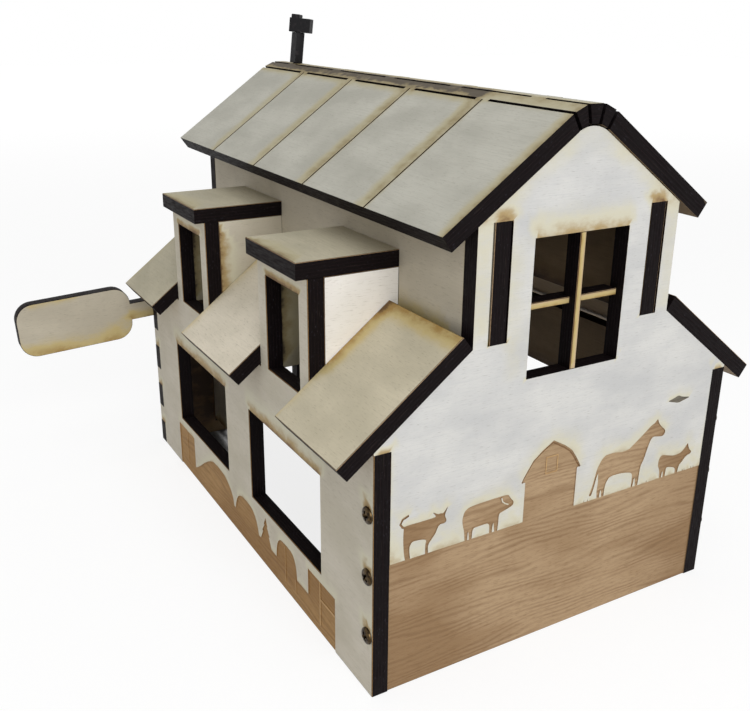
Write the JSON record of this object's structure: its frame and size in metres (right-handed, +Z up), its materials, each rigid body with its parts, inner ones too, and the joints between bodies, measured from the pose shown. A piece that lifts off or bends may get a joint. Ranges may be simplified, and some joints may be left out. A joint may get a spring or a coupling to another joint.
{
  "type": "toy barn",
  "caption": "Free-standing plywood toy barn with a raised loft, lean-to roofs, dormers, swinging double doors, a lift-off bent roof, a turning vane and a bare side sign.",
  "frame": {"origin": "middle of the front gable's foot, on its outer face, at table level", "axes": "+Z up from the table, +Y along the ridge from the front gable to the rear gable, the wall with the dormers on the -X side"},
  "size_m": [0.2246, 0.2249, 0.2078],
  "materials": {
    "wall_ply": "pale birch plywood, sanded, with charred cut edges",
    "roof_ply": "greyer birch plywood, sanded, with charred cut edges",
    "black_paint": "matte black paint on plywood",
    "pin_steel": "plain drawn wire",
    "screw_brass": "dark aged brass plating"
  },
  "bodies": {
    "barn": {"front_gable": "wall_ply", "rear_gable": "wall_ply", "left_side_wall": "wall_ply", "right_side_wall": "wall_ply", "left_loft_rail": "wall_ply", "left_loft_board": "wall_ply", "right_loft_rail": "wall_ply", "right_loft_board": "wall_ply", "left_lean_to_front": "roof_ply", "left_lean_to_middle": "roof_ply", "left_lean_to_rear": "roof_ply", "right_lean_to": "roof_ply", "front_dormer_near_cheek": "wall_ply", "front_dormer_far_cheek": "wall_ply", "front_dormer_roof": "roof_ply", "rear_dormer_near_cheek": "wall_ply", "rear_dormer_far_cheek": "wall_ply", "rear_dormer_roof": "roof_ply", "window_bar_level": "wall_ply", "window_bar_upright": "wall_ply", "sign_board": "wall_ply", "door_pins": "pin_steel", "corner_screws": "screw_brass"},
    "roof": {"upper_roof": "roof_ply", "vane_post": "black_paint"},
    "vane": {"vane_head": "black_paint"},
    "left_leaf": {"left_door": "wall_ply"},
    "right_leaf": {"right_door": "wall_ply"}
  },
  "joints": [
    {"name": "roof_lift", "type": "slide", "parent": "barn", "child": "roof", "axis": [0, 0, 1], "range_m": [0, 0.1]},
    {"name": "vane_spin", "type": "hinge", "parent": "roof", "child": "vane", "pos_m": [0, 0.20392, 0.18547], "axis": [0.1045, -0.0113, 0.9945], "continuous": true},
    {"name": "left_door_swing", "type": "hinge", "parent": "barn", "child": "left_leaf", "pos_m": [-0.0435, 0.215, 0.039], "axis": [0, 0, 1], "range_deg": [0, 180]},
    {"name": "right_door_swing", "type": "hinge", "parent": "barn", "child": "right_leaf", "pos_m": [0.0435, 0.215, 0.039], "axis": [0, 0, 1], "range_deg": [-90, 90]}
  ]
}
